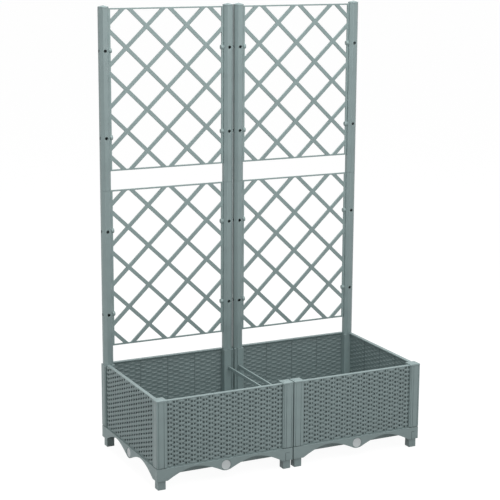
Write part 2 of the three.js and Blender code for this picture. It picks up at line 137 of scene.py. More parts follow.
SHEET_OVERLAP = (0.3, 0.4)  # how far the sheet runs into the sill and the rim
BRICK_OFFSETS = (-8.5, -6.0, -3.2, 0.0, 3.2, 6.0)  # grid lines of the inner face, from a stake
BRICK_SHARES = (0.0, 0.15, 0.5, 0.85)  # and up a strand
BRICK_HEIGHT = 1.5
BRICK_HALF = 8.0
BRICK_ROOT = 1.0
SEAM_STAKES = 5  # from one seam of the inner face to the next
SEAM_DEPTH = 0.4
# painted shade in the seam grooves of the inner face
SEAM_PAINTED_SHADE = 0.55
PANEL_PLANE = 7.0  # middle of a panel behind the outer face of its box
PANEL_EDGE = 4.4
PANEL_TONGUE = 3.0
RIM_HEIGHT = 3.5
RIM_FRONT = 2.6
RIM_DEPTH = 10.2
RIM_ROUND = 1.2
SILL_HEIGHT = 1.6

FOOT_CORNER = 1.4
FOOT_EDGE = 0.8
FOOT_PEG = 12.0
FOOT_HEIGHT = 25.0
FOOT_SEAM = 1.1  # dark joint under the base

PLUG_RADIUS = 13.3
PLUG_THICKNESS = 3.0
PLUG_STEM_RADIUS = 5.0
PLUG_STEM_LENGTH = 20.0
PLUG_STEM_CHAMFER = 0.8
PLUG_FACE = 0.25  # flat face behind the lip
PLUG_LIP = 1.1
PLUG_LIP_SLOPE = 0.4
PLUG_ROUND = 0.5
PLUG_ROUND_MIDDLE = 0.15  # in from the radius and from the front
PLUG_SIDES = 64

BAR_CORNER = 0.8  # of tie bars and link keys

BASE_CORNER = 1.6
SKIRT_WALL = 3.0
LEDGE = 2.8  # thickness of the top of the base, inside the skirt
TRAY_INSET = 25.0
TRAY_WALL = 3.0
TRAY_FLOOR_LIFT = 10.0
TRAY_FLOOR = 2.6
POST_SIDE = 30.0
CORNER_HALF = 14.25  # solid corner over a foot
CORNER_LIFT = 0.4
CROWN_RISE = 28.0  # highest point of a scallop, over the base's lower edge
CROWN_OFFSET = 88.0  # and from the middle of the side
TIP_RISE = 1.8
SHOULDER_RISE = 6.0
SHOULDER_OFFSET = 16.0
SCALLOP_STEPS = (8, 20, 22)  # along the tip, up to the crown and down to the leg
SHOULDER_HANDLE = (0.35, 0.64)  # handles, as shares of their span and of the crown's rise
CROWN_HANDLES = (0.3, 0.36)  # shares of the spans before and after the crown
LEG_HANDLE = (0.25, 0.43)
SCALLOP_BELOW = 0.1  # how far below the base the last curve ends
SCALLOP_EDGE = 0.01
SEAT_WALL = 1.0
SEAT_LENGTH = 10.0
PLUG_CLEARANCE = 0.6
SEAT_CHAMFER = 0.5
PIPE_WALL = 2.6
GROOVE_DEPTH = 1.5  # under the panels
KEY_SLOT = 5.3  # half the width of the hole for a link key, and its depth
MARK_LEFT = 22.5  # link mark, from the right-hand corner of a face
MARK_RIGHT = 10.0
MARK_TOP = 22.5
MARK_GROOVE = 1.5
MARK_DEPTH = 1.8
DRAIN_RADIUS = 4.5
DRAIN_OFFSET = 95.0
DRAIN_CHAMFER = 0.8
DRAIN_CHAMFER_ENDS = (0.6, 0.2)  # below and above the tray's floor


# ---- reading the frame

def low_high(node):
    """A node's corners in millimetres."""
    low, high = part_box(node)
    return [c / MM for c in low], [c / MM for c in high]


def middle(node):
    low, high = low_high(node)
    return [(a + b) / 2 for a, b in zip(low, high)]


def size(node):
    low, high = low_high(node)
    return [b - a for a, b in zip(low, high)]


def top_of(node, part):
    """The top of another part of the same box."""
    return low_high(node.split("_")[0] + part)[1][2]


def tube_length():
    """A tube without its spigot. A hairline stays open between two stacked tubes."""
    lower_top = low_high("left_tube_lower_left")[1][2]
    return low_high("left_tube_upper_left")[1][2] - lower_top - CLEARANCE


def tube_foot(node):
    return low_high(node)[1][2] - tube_length()


# ---- outlines

def rectangle(x0, x1, y0, y1):
    return [(x0, y0), (x1, y0), (x1, y1), (x0, y1)]


def rounded(outline, radius, steps=4):
    """The outline with each corner rounded by a parabola that stays close to an arc."""
    result = []
    count = len(outline)
    for i in range(count):
        here = Vector(outline[i])
        before = Vector(outline[i - 1]) - here
        after = Vector(outline[(i + 1) % count]) - here
        half = before.angle(after) / 2
        reach = radius / math.tan(half)
        reach = min(reach, LONGEST_ROUND * before.length, LONGEST_ROUND * after.length)
        start = here + before.normalized() * reach
        end = here + after.normalized() * reach
        for k in range(steps + 1):
            t = k / steps
            blend = start.lerp(here, t).lerp(here.lerp(end, t), t)
            result.append(tuple(blend))
    return result


def octagon(across):
    h = across / 2
    c = h * (2 - math.sqrt(2))
    return [(-h + c, -h), (h - c, -h), (h, -h + c), (h, h - c),
            (h - c, h), (-h + c, h), (-h, h - c), (-h, -h + c)]


def circle(radius, sides):
    return [(radius * math.cos(2 * math.pi * k / sides),
             radius * math.sin(2 * math.pi * k / sides)) for k in range(sides)]


def bezier(points, steps):
    """The points of a curve after its first one."""
    result = []
    for k in range(1, steps + 1):
        t = k / steps
        row = [Vector(p) for p in points]
        while len(row) > 1:
            row = [a.lerp(b, t) for a, b in zip(row, row[1:])]
        result.append(tuple(row[0]))
    return result


# ---- meshes

def lies_square(normal):
    """Whether a face looks along an axis or halfway between two, as the big flat faces do."""
    low, mid, high = sorted(abs(c) for c in normal)
    return low < SQUARE_WITHIN and (mid < SQUARE_WITHIN or high - mid < SQUARE_WITHIN)


def finish_mesh(mesh):
    """Merges doubled corners and turns the faces outwards. Rounded edges shade smooth, and flat
    faces and sharp edges don't."""
    bm = bmesh.new()
    bm.from_mesh(mesh)
    bmesh.ops.remove_doubles(bm, verts=bm.verts, dist=MERGE_WITHIN)
    bmesh.ops.dissolve_degenerate(bm, edges=bm.edges, dist=TINY_EDGE)
    triangles = [face for face in bm.faces if len(face.verts) == 3]
    bmesh.ops.beautify_fill(bm, faces=triangles, edges=bm.edges, method="ANGLE")
    bmesh.ops.recalc_face_normals(bm, faces=bm.faces)
    bm.to_mesh(mesh)
    bm.free()
    # the flat faces come last, because marking the sharp edges makes every face smooth again
    mesh.shade_smooth()
    mesh.set_sharp_from_angle(angle=math.radians(SHARP))
    for polygon in mesh.polygons:
        polygon.use_smooth = not lies_square(polygon.normal)
    return mesh


def mesh_of(obj, name):
    """The evaluated mesh of a scratch object, which is then removed."""
    depsgraph = bpy.context.evaluated_depsgraph_get()
    mesh = bpy.data.meshes.new_from_object(obj.evaluated_get(depsgraph))
    mesh.name = name
    bpy.data.objects.remove(obj)
    return mesh


def linked(name, data):
    """An object of the scene that holds a mesh, a curve, a lamp or a camera."""
    obj = bpy.data.objects.new(name, data)
    bpy.context.scene.collection.objects.link(obj)
    return obj


def mesh_from(bm, name):
    mesh = bpy.data.meshes.new(name)
    bm.to_mesh(mesh)
    bm.free()
    return mesh


def signed_area(points):
    return sum(a[0] * b[1] - b[0] * a[1] for a, b in zip(points, points[1:] + points[:1])) / 2


def profile_solid(name, outlines, z0, z1, edge=EDGE):
    """A closed outline, with any holes after it, raised from z0 to z1 with rounded edges."""
    curve = bpy.data.curves.new(name, "CURVE")
    curve.dimensions = "2D"
    curve.fill_mode = "BOTH"
    curve.extrude = (z1 - z0) / 2 - edge
    curve.bevel_depth = edge
    curve.bevel_resolution = 1
    curve.offset = -edge
    for i, outline in enumerate(outlines):
        # the outline runs anticlockwise and its holes clockwise
        if (signed_area(outline) > 0) != (i == 0):
            outline = outline[::-1]
        spline = curve.splines.new("POLY")
        spline.points.add(len(outline) - 1)
        for spot, (x, y) in zip(spline.points, outline):
            spot.co = (x, y, 0, 1)
        spline.use_cyclic_u = True
    mesh = mesh_of(linked("scratch", curve), name)
    bpy.data.curves.remove(curve)
    mesh.transform(Matrix.Translation((0, 0, (z0 + z1) / 2)))
    return finish_mesh(mesh)


def block(x0, x1, y0, y1, z0, z1):
    """A plain block, for cutting and joining."""
    bm = bmesh.new()
    bmesh.ops.create_cube(bm, size=1)
    mesh = mesh_from(bm, "block")
    mesh.transform(Matrix.LocRotScale(
        ((x0 + x1) / 2, (y0 + y1) / 2, (z0 + z1) / 2), None, (x1 - x0, y1 - y0, z1 - z0)))
    return mesh


def stacked(name, rings):
    """Rings of points, each joined to the next. The last one is a single point, and so is the
    first one, unless a flat face closes it."""
    bm = bmesh.new()
    rings = [[bm.verts.new(point) for point in ring] for ring in rings]
    count = max(len(ring) for ring in rings)
    if len(rings[0]) > 1:
        bm.faces.new(rings[0][::-1])
    for lower, upper in zip(rings, rings[1:]):
        for k in range(count):
            n = (k + 1) % count
            if len(lower) == 1:
                bm.faces.new((lower[0], upper[n], upper[k]))
            elif len(upper) == 1:
                bm.faces.new((lower[k], lower[n], upper[0]))
            else:
                bm.faces.new((lower[k], lower[n], upper[n], upper[k]))
    return finish_mesh(mesh_from(bm, name))


def lathe(name, profile, segments=ROUND):
    """A profile of (radius, height) turned round the Z axis. It starts and ends on the axis."""
    return stacked(name, [[(x, y, height) for x, y in circle(radius, segments)] if radius
                          else [(0, 0, height)] for radius, height in profile])


def rod(radius, start, end):
    """The profile of a plain rod, for lathe()."""
    return [(0, start), (radius, start), (radius, end), (0, end)]


def turned(mesh, matrix):
    """A turned or moved copy of a mesh."""
    copy = mesh.copy()
    copy.transform(matrix)
    return copy


def along_y(mesh):
    """A mesh made along +Z, laid along +Y."""
    return turned(mesh, Matrix.Rotation(-math.pi / 2, 4, "X"))


def along_x(mesh):
    """A mesh made along +Z, laid along +X."""
    return turned(mesh, Matrix.Rotation(math.pi / 2, 4, "Y"))


def combined(name, base, others, operation):
    """base joined with, or cut by, each of the other meshes."""
    target = linked("scratch", base)
    helpers = []
    for other in others:
        helper = linked("scratch", other)
        helpers.append(helper)
        modifier = target.modifiers.new("combine", "BOOLEAN")
        modifier.operation = operation
        modifier.solver = "EXACT"
        modifier.object = helper
    mesh = mesh_of(target, name)
    for helper in helpers:
        bpy.data.objects.remove(helper)
    return finish_mesh(mesh)


def bevelled(name, mesh, width, angle):
    """A mesh with its edges rounded where its faces meet at more than an angle in degrees."""
    target = linked("scratch", mesh)
    modifier = target.modifiers.new("edges", "BEVEL")
    modifier.width = width
    modifier.segments = 2
    modifier.limit_method = "ANGLE"
    modifier.angle_limit = math.radians(angle)
    modifier.use_clamp_overlap = True
    return finish_mesh(mesh_of(target, name))


# ---- materials

CLOUD_SCALE = 22.0  # scales of the noises, per metre
SHEEN_SCALE = 60.0
GRAIN_SCALE = 900.0
NOISE_SPAN = (0.3, 0.7)  # where most of a noise lies
SHEEN_SPREAD = 0.06
GRAIN = 0.2
GRAIN_HEIGHT = 0.0002  # metres
# dark tint that painted shade multiplies into the faces that the recess attribute marks
PAINTED_SHADE_TINT = (0.1, 0.11, 0.12, 1)


def noise(nodes, links, coordinates, scale, detail=3.0):
    node = nodes.new("ShaderNodeTexNoise")
    node.inputs["Scale"].default_value = scale
    node.inputs["Detail"].default_value = detail
    links.new(coordinates, node.inputs["Vector"])
    return node.outputs["Fac"]


def ranged(nodes, links, value, low, high):
    node = nodes.new("ShaderNodeMapRange")
    node.inputs["From Min"].default_value = NOISE_SPAN[0]
    node.inputs["From Max"].default_value = NOISE_SPAN[1]
    node.inputs["To Min"].default_value = low
    node.inputs["To Max"].default_value = high
    links.new(value, node.inputs["Value"])
    return node.outputs["Result"]


def linear(channel):
    """A channel of an 8-bit sRGB colour as linear light."""
    c = channel / 255
    return c / 12.92 if c <= 0.04045 else ((c + 0.055) / 1.055) ** 2.4


def moulded_plastic(name, colour, mottle=0.05, roughness=0.45, recess=False):
    """Matte moulded plastic: faint cloudy colour, uneven sheen and a fine spark-eroded grain.
    With recess, the faces marked for it are darkened by painted shade."""
    material = bpy.data.materials.new(name)
    material.use_nodes = True
    nodes = material.node_tree.nodes
    links = material.node_tree.links
    shader = nodes["Principled BSDF"]
    coordinates = nodes.new("ShaderNodeTexCoord").outputs["Object"]

    dark = [linear(c) * (1 - mottle) for c in colour]
    light = [linear(c) * (1 + mottle) for c in colour]
    clouds = ranged(nodes, links, noise(nodes, links, coordinates, CLOUD_SCALE), 0.0, 1.0)
    mix = nodes.new("ShaderNodeMix")
    mix.data_type = "RGBA"
    mix.inputs["A"].default_value = (*dark, 1)
    mix.inputs["B"].default_value = (*light, 1)
    links.new(clouds, mix.inputs["Factor"])
    surface = mix.outputs["Result"]
    if recess:
        # painted shade: the recess attribute multiplies the dark tint in
        attribute = nodes.new("ShaderNodeAttribute")
        attribute.attribute_name = "recess"
        shade = nodes.new("ShaderNodeMix")
        shade.data_type = "RGBA"
        shade.blend_type = "MULTIPLY"
        shade.inputs["B"].default_value = PAINTED_SHADE_TINT
        links.new(attribute.outputs["Fac"], shade.inputs["Factor"])
        links.new(surface, shade.inputs["A"])
        surface = shade.outputs["Result"]
    links.new(surface, shader.inputs["Base Color"])

    sheen = noise(nodes, links, coordinates, SHEEN_SCALE)
    sheen = ranged(nodes, links, sheen, roughness - SHEEN_SPREAD, roughness + SHEEN_SPREAD)
    links.new(sheen, shader.inputs["Roughness"])
    bump = nodes.new("ShaderNodeBump")
    bump.inputs["Strength"].default_value = GRAIN
    bump.inputs["Distance"].default_value = GRAIN_HEIGHT
    links.new(noise(nodes, links, coordinates, GRAIN_SCALE, detail=2.0), bump.inputs["Height"])
    links.new(bump.outputs["Normal"], shader.inputs["Normal"])
    shader.inputs["Specular IOR Level"].default_value = 0.5
    return material


LOOKS = {
    "frame_plastic": {"colour": (139, 156, 156)},
    "base_plastic": {"colour": (137, 153, 153), "roughness": 0.55},
    "weave_plastic": {"colour": (137, 153, 153), "roughness": 0.55, "recess": True},
    "lattice_plastic": {"colour": (142, 160, 159)},
    "plug_plastic": {"colour": (210, 216, 217), "mottle": 0.08},
}
MATERIALS = {name: moulded_plastic(name, **look) for name, look in LOOKS.items()}


# ---- placing

def placed(node, mesh, slot, position, turn=0, body=ROOT):
    """A finished piece that stands for a CAD node, placed in millimetres and quarter turns. Its
    mesh is scaled to metres when it is first placed, and can be placed again."""
    if not mesh.materials:
        mesh.materials.append(MATERIALS[slot])
        mesh.transform(Matrix.Scale(MM, 4))
    piece = linked(f"{node}_finished", mesh)
    piece.location = [c * MM for c in position]
    piece.rotation_euler = (0, 0, turn * math.pi / 2)
    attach(piece, body)
    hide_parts(node)


# ---- posts and caps

def flute(offset, side):
    """A round groove, as points from its near edge to its far edge."""
    steps = 8
    points = []
    for k in range(steps + 1):
        t = math.pi * k / steps
        points.append((offset - FLUTE_WIDTH / 2 * math.cos(t) - side / 2,
                       FLUTE_DEPTH * math.sin(t) - side / 2))
    return points


def post_outline(side):
    """Plan of a post whose outer corner is towards -X -Y. The left half mirrors the front."""
    half = side / 2
    groove_floor = half - PANEL_TONGUE - CLEARANCE
    groove_near = PANEL_PLANE - PANEL_EDGE / 2 - CLEARANCE - half
    groove_far = groove_near + PANEL_EDGE + 2 * CLEARANCE
    front = []
    steps = 4
    for k in range(steps + 1):
        t = math.pi / 4 + math.pi / 4 * k / steps
        front.append((POST_RADIUS * (1 - math.sin(math.pi / 2 - t)) - half,
                      POST_RADIUS * (1 - math.sin(t)) - half))
    for offset in FLUTES:
        front += flute(offset, side)
    front += [
        (half - POST_FLANGE, -half), (half - POST_FLANGE, POST_STEP - half),
        (half, POST_STEP - half), (half, groove_near),
        (groove_floor, groove_near), (groove_floor, groove_far),
        (half, groove_far), (half, half - POST_RADIUS),
    ]
    left = [(y, x) for x, y in front]
    return front + left[::-1][:-1]


def make_post(node, tie):
    """A hollow post. tie is the local direction of the tie bar that enters it, or None."""
    foot = top_of(node, "_base") + POST_SEAM
    outlines = [post_outline(size(node)[0]), octagon(POST_BORE)]
    post = profile_solid("post", outlines, foot, low_high(node)[1][2], edge=POST_EDGE)
    if tie is None:
        return post
    bar_low, bar_high = low_high(node.split("_")[0] + "_tie_bar")
    half = size(node)[0] / 2
    width = (bar_high[0] - bar_low[0]) / 2 + SOCKET_GAP
    socket = block(-width, width, POST_BORE / 2 - OVERLAP, half + OVERLAP,
                   bar_low[2] - SOCKET_GAP, bar_high[2] + SOCKET_GAP)
    if tie == "x":
        socket.transform(Matrix.Rotation(-math.pi / 2, 4, "Z"))
    return combined("post_with_socket", post, [socket], "DIFFERENCE")


def make_cap(name, node, outline, rim):
    """A lid with a low pyramid top over an upright rim, and a stem below. It seats at 0."""
    top = size(node)[2] - CAP_PLUG_DEPTH
    levels = [(0.0, 1.0), (rim, 1.0), (rim + (top - rim) * CAP_TOP[0], CAP_TOP[1])]
    rings = [[(x * scale, y * scale, height) for x, y in outline] for height, scale in levels]
    lid = bevelled(name, stacked(name, [*rings, [(0, 0, top)]]), CAP_ROUND, CAP_ROUND_FROM)
    stem = profile_solid(name, [octagon(SPIGOT_ACROSS)], -CAP_PLUG_DEPTH, rim / 2)
    return combined(name, lid, [stem], "UNION")


def cap_seat(node):
    return low_high(node)[0][2] + CAP_PLUG_DEPTH


# ---- trellis

def screw_hole_cutter(surface):
    """A round cutter along +Z that ends at a surface, with a small chamfer there."""
    wide = SCREW_HOLE_RADIUS + SCREW_HOLE_CHAMFER
    return lathe("hole", [
        (0, surface - SCREW_HOLE_REACH), (SCREW_HOLE_RADIUS, surface - SCREW_HOLE_REACH),
        (SCREW_HOLE_RADIUS, surface - SCREW_HOLE_CHAMFER), (wide, surface),
        (wide, surface + PAST), (0, surface + PAST),
    ], SMALL_ROUND)


def make_tube(node):
    """A hollow tube that stands at 0, with its spigot below and screw holes on three faces."""
    length = tube_length()
    across = size(node)[0]
    outline = rounded(octagon(across), TUBE_CORNER, 3)
    body = profile_solid("tube", [outline], 0, length, edge=TUBE_EDGE)
    spigot = profile_solid("spigot", [octagon(SPIGOT_ACROSS)], -SPIGOT_LENGTH, TUBE_FLOOR / 2)
    joined = combined("tube", body, [spigot], "UNION")
    bore = profile_solid("bore", [octagon(TUBE_BORE)],
                         TUBE_FLOOR, length + BORE_PAST[1], edge=CUTTER_EDGE)
    lower_bore = profile_solid("bore", [octagon(SPIGOT_ACROSS - 2 * SPIGOT_WALL)],
                               -SPIGOT_LENGTH - BORE_PAST[0], TUBE_FLOOR + OVERLAP,
                               edge=CUTTER_EDGE)
    cutter = screw_hole_cutter(across / 2)
    cutters = [bore, lower_bore]
    for height in SCREW_HOLES:
        lift = Matrix.Translation((0, 0, height))
        for angle in (0, 1, 3):
            # the cutter's axis is laid towards -Y, then turned to +X and -X
            matrix = lift @ Matrix.Rotation(angle * math.pi / 2, 4, "Z")
            matrix = matrix @ Matrix.Rotation(math.pi / 2, 4, "X")
            cutters.append(turned(cutter, matrix))
    return combined("tube", joined, cutters, "DIFFERENCE")


def clipped(polygon, x0, x1, y0, y1):
    """A convex polygon cut to a window."""
    for axis, value, sign in ((0, x0, 1), (0, x1, -1), (1, y0, 1), (1, y1, -1)):
        kept = []
        for a, b in zip(polygon[-1:] + polygon[:-1], polygon):
            a_inside, b_inside = (sign * (p[axis] - value) > 0 for p in (a, b))
            if a_inside != b_inside:
                t = (value - a[axis]) / (b[axis] - a[axis])
                kept.append(tuple(a[k] + t * (b[k] - a[k]) for k in (0, 1)))
            if b_inside:
                kept.append(b)
        polygon = kept
    return polygon


def make_lattice(node):
    """Diagonal strips in a thin frame, made flat and then stood up, with the bosses and pegs that
    hold it to the tubes. Its middle is at height 0."""
    tubes = middle("left_tube_lower_right")[0] - middle("left_tube_lower_left")[0]
    across = size("left_tube_lower_left")[0]
    half_x = tubes / 2 - across / 2 - CLEARANCE
    half_z = size(node)[2] / 2
    window = (LATTICE_RAIL - half_x, half_x - LATTICE_RAIL,
              LATTICE_BAR - half_z, half_z - LATTICE_BAR)
    lean = math.atan2(DIAMOND[1], DIAMOND[0])
    open_x = DIAMOND[0] / 2 - LATTICE_STRIP / 2 / math.sin(lean)
    open_z = DIAMOND[1] / 2 - LATTICE_STRIP / 2 / math.cos(lean)
    outlines = [rectangle(-half_x, half_x, -half_z, half_z)]
    for i in range(-DIAMOND_REACH[0], DIAMOND_REACH[0] + 1):
        for j in range(-DIAMOND_REACH[1], DIAMOND_REACH[1] + 1):
            if (i + j) % 2 == 0:
                continue
            x, z = i * DIAMOND[0] / 2, j * DIAMOND[1] / 2
            diamond = [(x - open_x, z), (x, z - open_z), (x + open_x, z), (x, z + open_z)]
            opening = clipped(diamond, *window)
            if len(opening) >= 3 and abs(signed_area(opening)) > SMALLEST_OPENING:
                outlines.append(rounded(opening, OPENING_CORNER, 2))
    grille = profile_solid("lattice", outlines, -LATTICE_DEPTH / 2, LATTICE_DEPTH / 2)
    grille.transform(Matrix.Rotation(math.pi / 2, 4, "X"))
    boss_end = half_x - LATTICE_RAIL - BOSS_PROUD
    peg_end = tubes / 2 - TUBE_BORE / 2
    boss = along_x(lathe("boss", [
        (0, boss_end), (BOSS_RADIUS - BOSS_ROUND, boss_end),
        (BOSS_RADIUS - BOSS_ROUND_MIDDLE[0], boss_end + BOSS_ROUND_MIDDLE[1]),
        (BOSS_RADIUS, boss_end + BOSS_ROUND), (BOSS_RADIUS, half_x - BOSS_SET_IN),
        (PEG_RADIUS, half_x - BOSS_SET_IN), (PEG_RADIUS, peg_end), (0, peg_end),
    ], SMALL_ROUND))
    bottom = low_high(node)[0][2]
    foot = tube_foot(node.replace("lattice", "tube") + "_left")
    fixings = []
    for screw in SCREW_HOLES:
        lift = Matrix.Translation((0, 0, foot + screw - bottom - half_z))
        fixings.append(turned(boss, lift))
        fixings.append(turned(boss, lift @ Matrix.Rotation(math.pi, 4, "Z")))
    return joined_meshes("lattice", [grille, *fixings])


# ---- woven panels

def spread(count, places, last):
    """Grid lines over a row of cells: each one's cell and its place there. A last line closes
    the row."""
    cells = np.append(np.repeat(np.arange(count), len(places)), count - 1)
    return cells, np.append(np.tile(places, count), last)


def weave_columns(half):
    """Grid positions along a panel, with each one's stake and its distance from that stake."""
    count = int(round(2 * half / STAKE_PITCH))
    pitch = 2 * half / count
    spots = []
    for stake in range(count):
        end = PIT_ENDS[stake % 2]
        near = STAKE_HALF + PIT_WALL
        side = [STAKE_TURN * STAKE_HALF, STAKE_HALF, STAKE_HALF + STAKE_SHOULDER, near,
                near + (end - near) / 3, end - (end - near) / 3, end, (end + pitch / 2) / 2]
        offsets = [-pitch / 2, *[-s for s in reversed(side)], 0.0, *side]
        spots += [(stake, offset) for offset in offsets]
    spots.append((count - 1, pitch / 2))
    stakes = np.array([s for s, _ in spots])
    across = np.array([a for _, a in spots])
    return (stakes + 0.5) * pitch + across - half, stakes, across


def weave_rows(low, high):
    """Grid positions up a panel, with each one's strand and the share of its height."""
    count = int(round((high - low) / STRAND_PITCH))
    shares = [0.0, PIT_MARGIN / 2, PIT_MARGIN, 0.5, 1 - PIT_MARGIN, 1 - PIT_MARGIN / 2]
    strands, share = spread(count, shares, 1.0)
    return low + (high - low) * (strands + share) / count, strands, share


def weave_front(stakes, across, strands, share):
    """How far the woven face stands out: a strand passes over one stake and dives behind the
    next, where the stake shows between two pits. Also the painted shade of each point of a pit."""
    over = (stakes + strands) % 2 == 0
    run = np.where(over, np.abs(across), STAKE_PITCH - np.abs(across))
    wave = (1 + np.cos(math.pi * run / STAKE_PITCH)) / 2
    bulge = STRAND_ROUND * (1 - (2 * share - 1) ** 2)
    strand = STRAND_LOW + (STRAND_CREST - STRAND_LOW) * wave + bulge
    near = STAKE_HALF + PIT_WALL
    wall = (STAKE_SHOULDER + PIT_WALL) / 2 + STAKE_HALF
    stake = STAKE_FRONT - STAKE_ROUND * (across / STAKE_HALF) ** 2
    stake = np.where(np.abs(across) > STAKE_HALF + STAKE_SHOULDER / 2, STAKE_SHOULDER_FRONT, stake)
    ends = np.where(stakes % 2 == 0, *PIT_ENDS)
    climb = np.clip((np.abs(across) - near) / (ends - near), 0, 1)
    # beside a post the pits don't climb again, and their painted shade stays full
    outermost = ((stakes == 0) & (across < 0)) | ((stakes == stakes.max()) & (across > 0))
    climb = np.where(outermost, 0, climb)
    beside = (np.abs(across) > wall) & (climb < 1)
    margin = 0.9 * PIT_MARGIN  # takes in the grid lines that lie at the margin itself
    inside = (share > margin) & (share < 1 - margin)
    pit = ~over & beside & inside
    on_stake = ~over & (np.abs(across) < wall)
    front = np.where(on_stake, np.maximum(stake, strand), strand)
    front = np.where(pit, PIT_FLOOR + (strand - PIT_FLOOR) * climb, front)
    # painted shade in the pits, lighter as a pit climbs
    dark = np.where(stakes % 2 == 0, *PIT_PAINTED_SHADE)
    return front, np.where(pit, dark * (1 - PIT_PAINTED_SHADE_FADE * climb), 0)


def brick_face(low, high, half):
    """The inner face: soft bumps where strands pass behind the stakes, and a few seams. It carries
    painted shade all over, more of it in the seams.
    """
    count = int(round(2 * half / STAKE_PITCH))
    pitch = 2 * half / count
    stakes, across = spread(count, BRICK_OFFSETS, pitch / 2)
    rows = int(round((high - low) / STRAND_PITCH))
    strands, share = spread(rows, BRICK_SHARES, 1.0)
    xs = (stakes + 0.5) * pitch + across - half
    zs = low + (high - low) * (strands + share) / rows
    behind = (stakes[None, :] + strands[:, None]) % 2 == 1
    run = np.where(behind, np.abs(across)[None, :], pitch - np.abs(across)[None, :])
    length = np.sqrt(np.clip(1 - (run / BRICK_HALF) ** 2, 0, 1))
    depth = SHEET_BACK + BRICK_HEIGHT * length * (1 - (2 * share[:, None] - 1) ** 4)
    seams = len(BRICK_OFFSETS) * np.arange(SEAM_STAKES, count, SEAM_STAKES)
    depth[:, seams] -= SEAM_DEPTH
    depth[[0, -1]] = SHEET_BACK
    mesh = height_sheet("bricks", xs, zs, depth, SHEET_BACK - BRICK_ROOT)
    # painted shade all over the inner face, darker in the seams
    painted_shades = np.full((len(zs) - 1, len(xs) - 1), INNER_PAINTED_SHADE)
    painted_shades[:, seams] = SEAM_PAINTED_SHADE
    paint_shade(mesh, painted_shades)
    return mesh


def paint_shade(mesh, painted_shades):
    """Marks painted shade on the first faces of a mesh for its material, from 0 to 1, and leaves
    the rest at 0.
    """
    marks = mesh.attributes.new("recess", "FLOAT", "FACE")
    for face, shade in enumerate(painted_shades.ravel()):
        marks.data[face].value = shade


def height_sheet(name, xs, zs, depth, back):
    """A closed sheet: a surface with its Y given over a grid of X and Z, and a flat far side."""
    grid_x, grid_z = np.meshgrid(xs, zs)
    surface = np.stack([grid_x, depth, grid_z], -1).reshape(-1, 3)
    index = np.arange(len(surface)).reshape(depth.shape)
    loop = np.concatenate([index[0, :-1], index[:-1, -1], index[-1, :0:-1], index[:0:-1, 0]])
    far = surface[loop].copy()
    far[:, 1] = back
    ring = len(surface) + np.arange(len(loop))
    quads = np.stack([index[:-1, :-1], index[:-1, 1:], index[1:, 1:], index[1:, :-1]], -1)
    walls = np.stack([loop, ring, np.roll(ring, -1), np.roll(loop, -1)], -1)
    faces = quads.reshape(-1, 4).tolist() + walls.tolist() + [ring[::-1].tolist()]
    if back < depth.mean():
        faces = [face[::-1] for face in faces]
    mesh = bpy.data.meshes.new(name)
    mesh.from_pydata(np.concatenate([surface, far]).tolist(), [], faces)
    mesh.shade_smooth()
    mesh.set_sharp_from_angle(angle=math.radians(SHEET_SHARP))
    return mesh


def weave_sheet(name, half, low, high):
    """The closed woven sheet of a panel, facing -Y, with painted shade marked in its pits for its
    material.
    """
    xs, stakes, across = weave_columns(half)
    zs, strands, share = weave_rows(low, high)
    front, pits = weave_front(stakes[None, :], across[None, :], strands[:, None], share[:, None])
    for edge in (front[0], front[-1], front[:, 0], front[:, -1]):
        edge[:] = 0.0
    mesh = height_sheet(name, xs, zs, -front, SHEET_BACK - BRICK_ROOT / 2)
    # painted shade: a face takes the darkest of its corners
    paint_shade(mesh, np.maximum.reduce([pits[:-1, :-1], pits[:-1, 1:], pits[1:, 1:], pits[1:, :-1]]))
    return mesh


def joined_meshes(name, meshes):
    """Closed shells side by side in one mesh."""
    bm = bmesh.new()
    if any("recess" in mesh.attributes for mesh in meshes):
        bm.faces.layers.float.new("recess")
    for mesh in meshes:
        bm.from_mesh(mesh)
    return mesh_from(bm, name)


def make_panel(node):
    """A woven panel for a side, facing -Y, with its middle plane at Y = 0."""
    low, high = low_high(node)
    length = max(high[0] - low[0], high[1] - low[1])
    half = length / 2 - PANEL_TONGUE
    edge = PANEL_EDGE / 2
    foot = top_of(node, "_base") + CLEARANCE
    post_top = top_of(node, "_post_front_left")
    top = high[2]
    weave_low = foot + SILL_HEIGHT
    weave_high = top - RIM_HEIGHT + SHEET_OVERLAP[1]
    sheet = weave_sheet("weave", half, weave_low, weave_high)
    # the rim and the sill are drawn as (depth, height) along Z, and laid along X
    stand = Matrix(((0, 0, 1, 0), (1, 0, 0, 0), (0, 1, 0, 0), (0, 0, 0, 1)))
    outline = rectangle(-RIM_FRONT, RIM_DEPTH - RIM_FRONT, top - RIM_HEIGHT, top)
    rim = profile_solid("rim", [rounded(outline, RIM_ROUND)], -half, half, edge=FINE_EDGE)
    rim.transform(stand)
    outline = rectangle(-edge, edge, low[2], weave_low + SHEET_OVERLAP[0])
    sill = profile_solid("sill", [outline], -half, half, edge=FINE_EDGE)
    sill.transform(stand)
    tongues = [
        profile_solid("tongue", [rectangle(x0, x1, -edge, edge)], foot, post_top, edge=FINE_EDGE)
        for x0, x1 in ((-half - PANEL_TONGUE, OVERLAP - half),
                       (half - OVERLAP, half + PANEL_TONGUE))
    ]
    bricks = brick_face(weave_low, weave_high, half)
    return joined_meshes("panel", [sheet, bricks, rim, sill, *tongues])


# ---- base

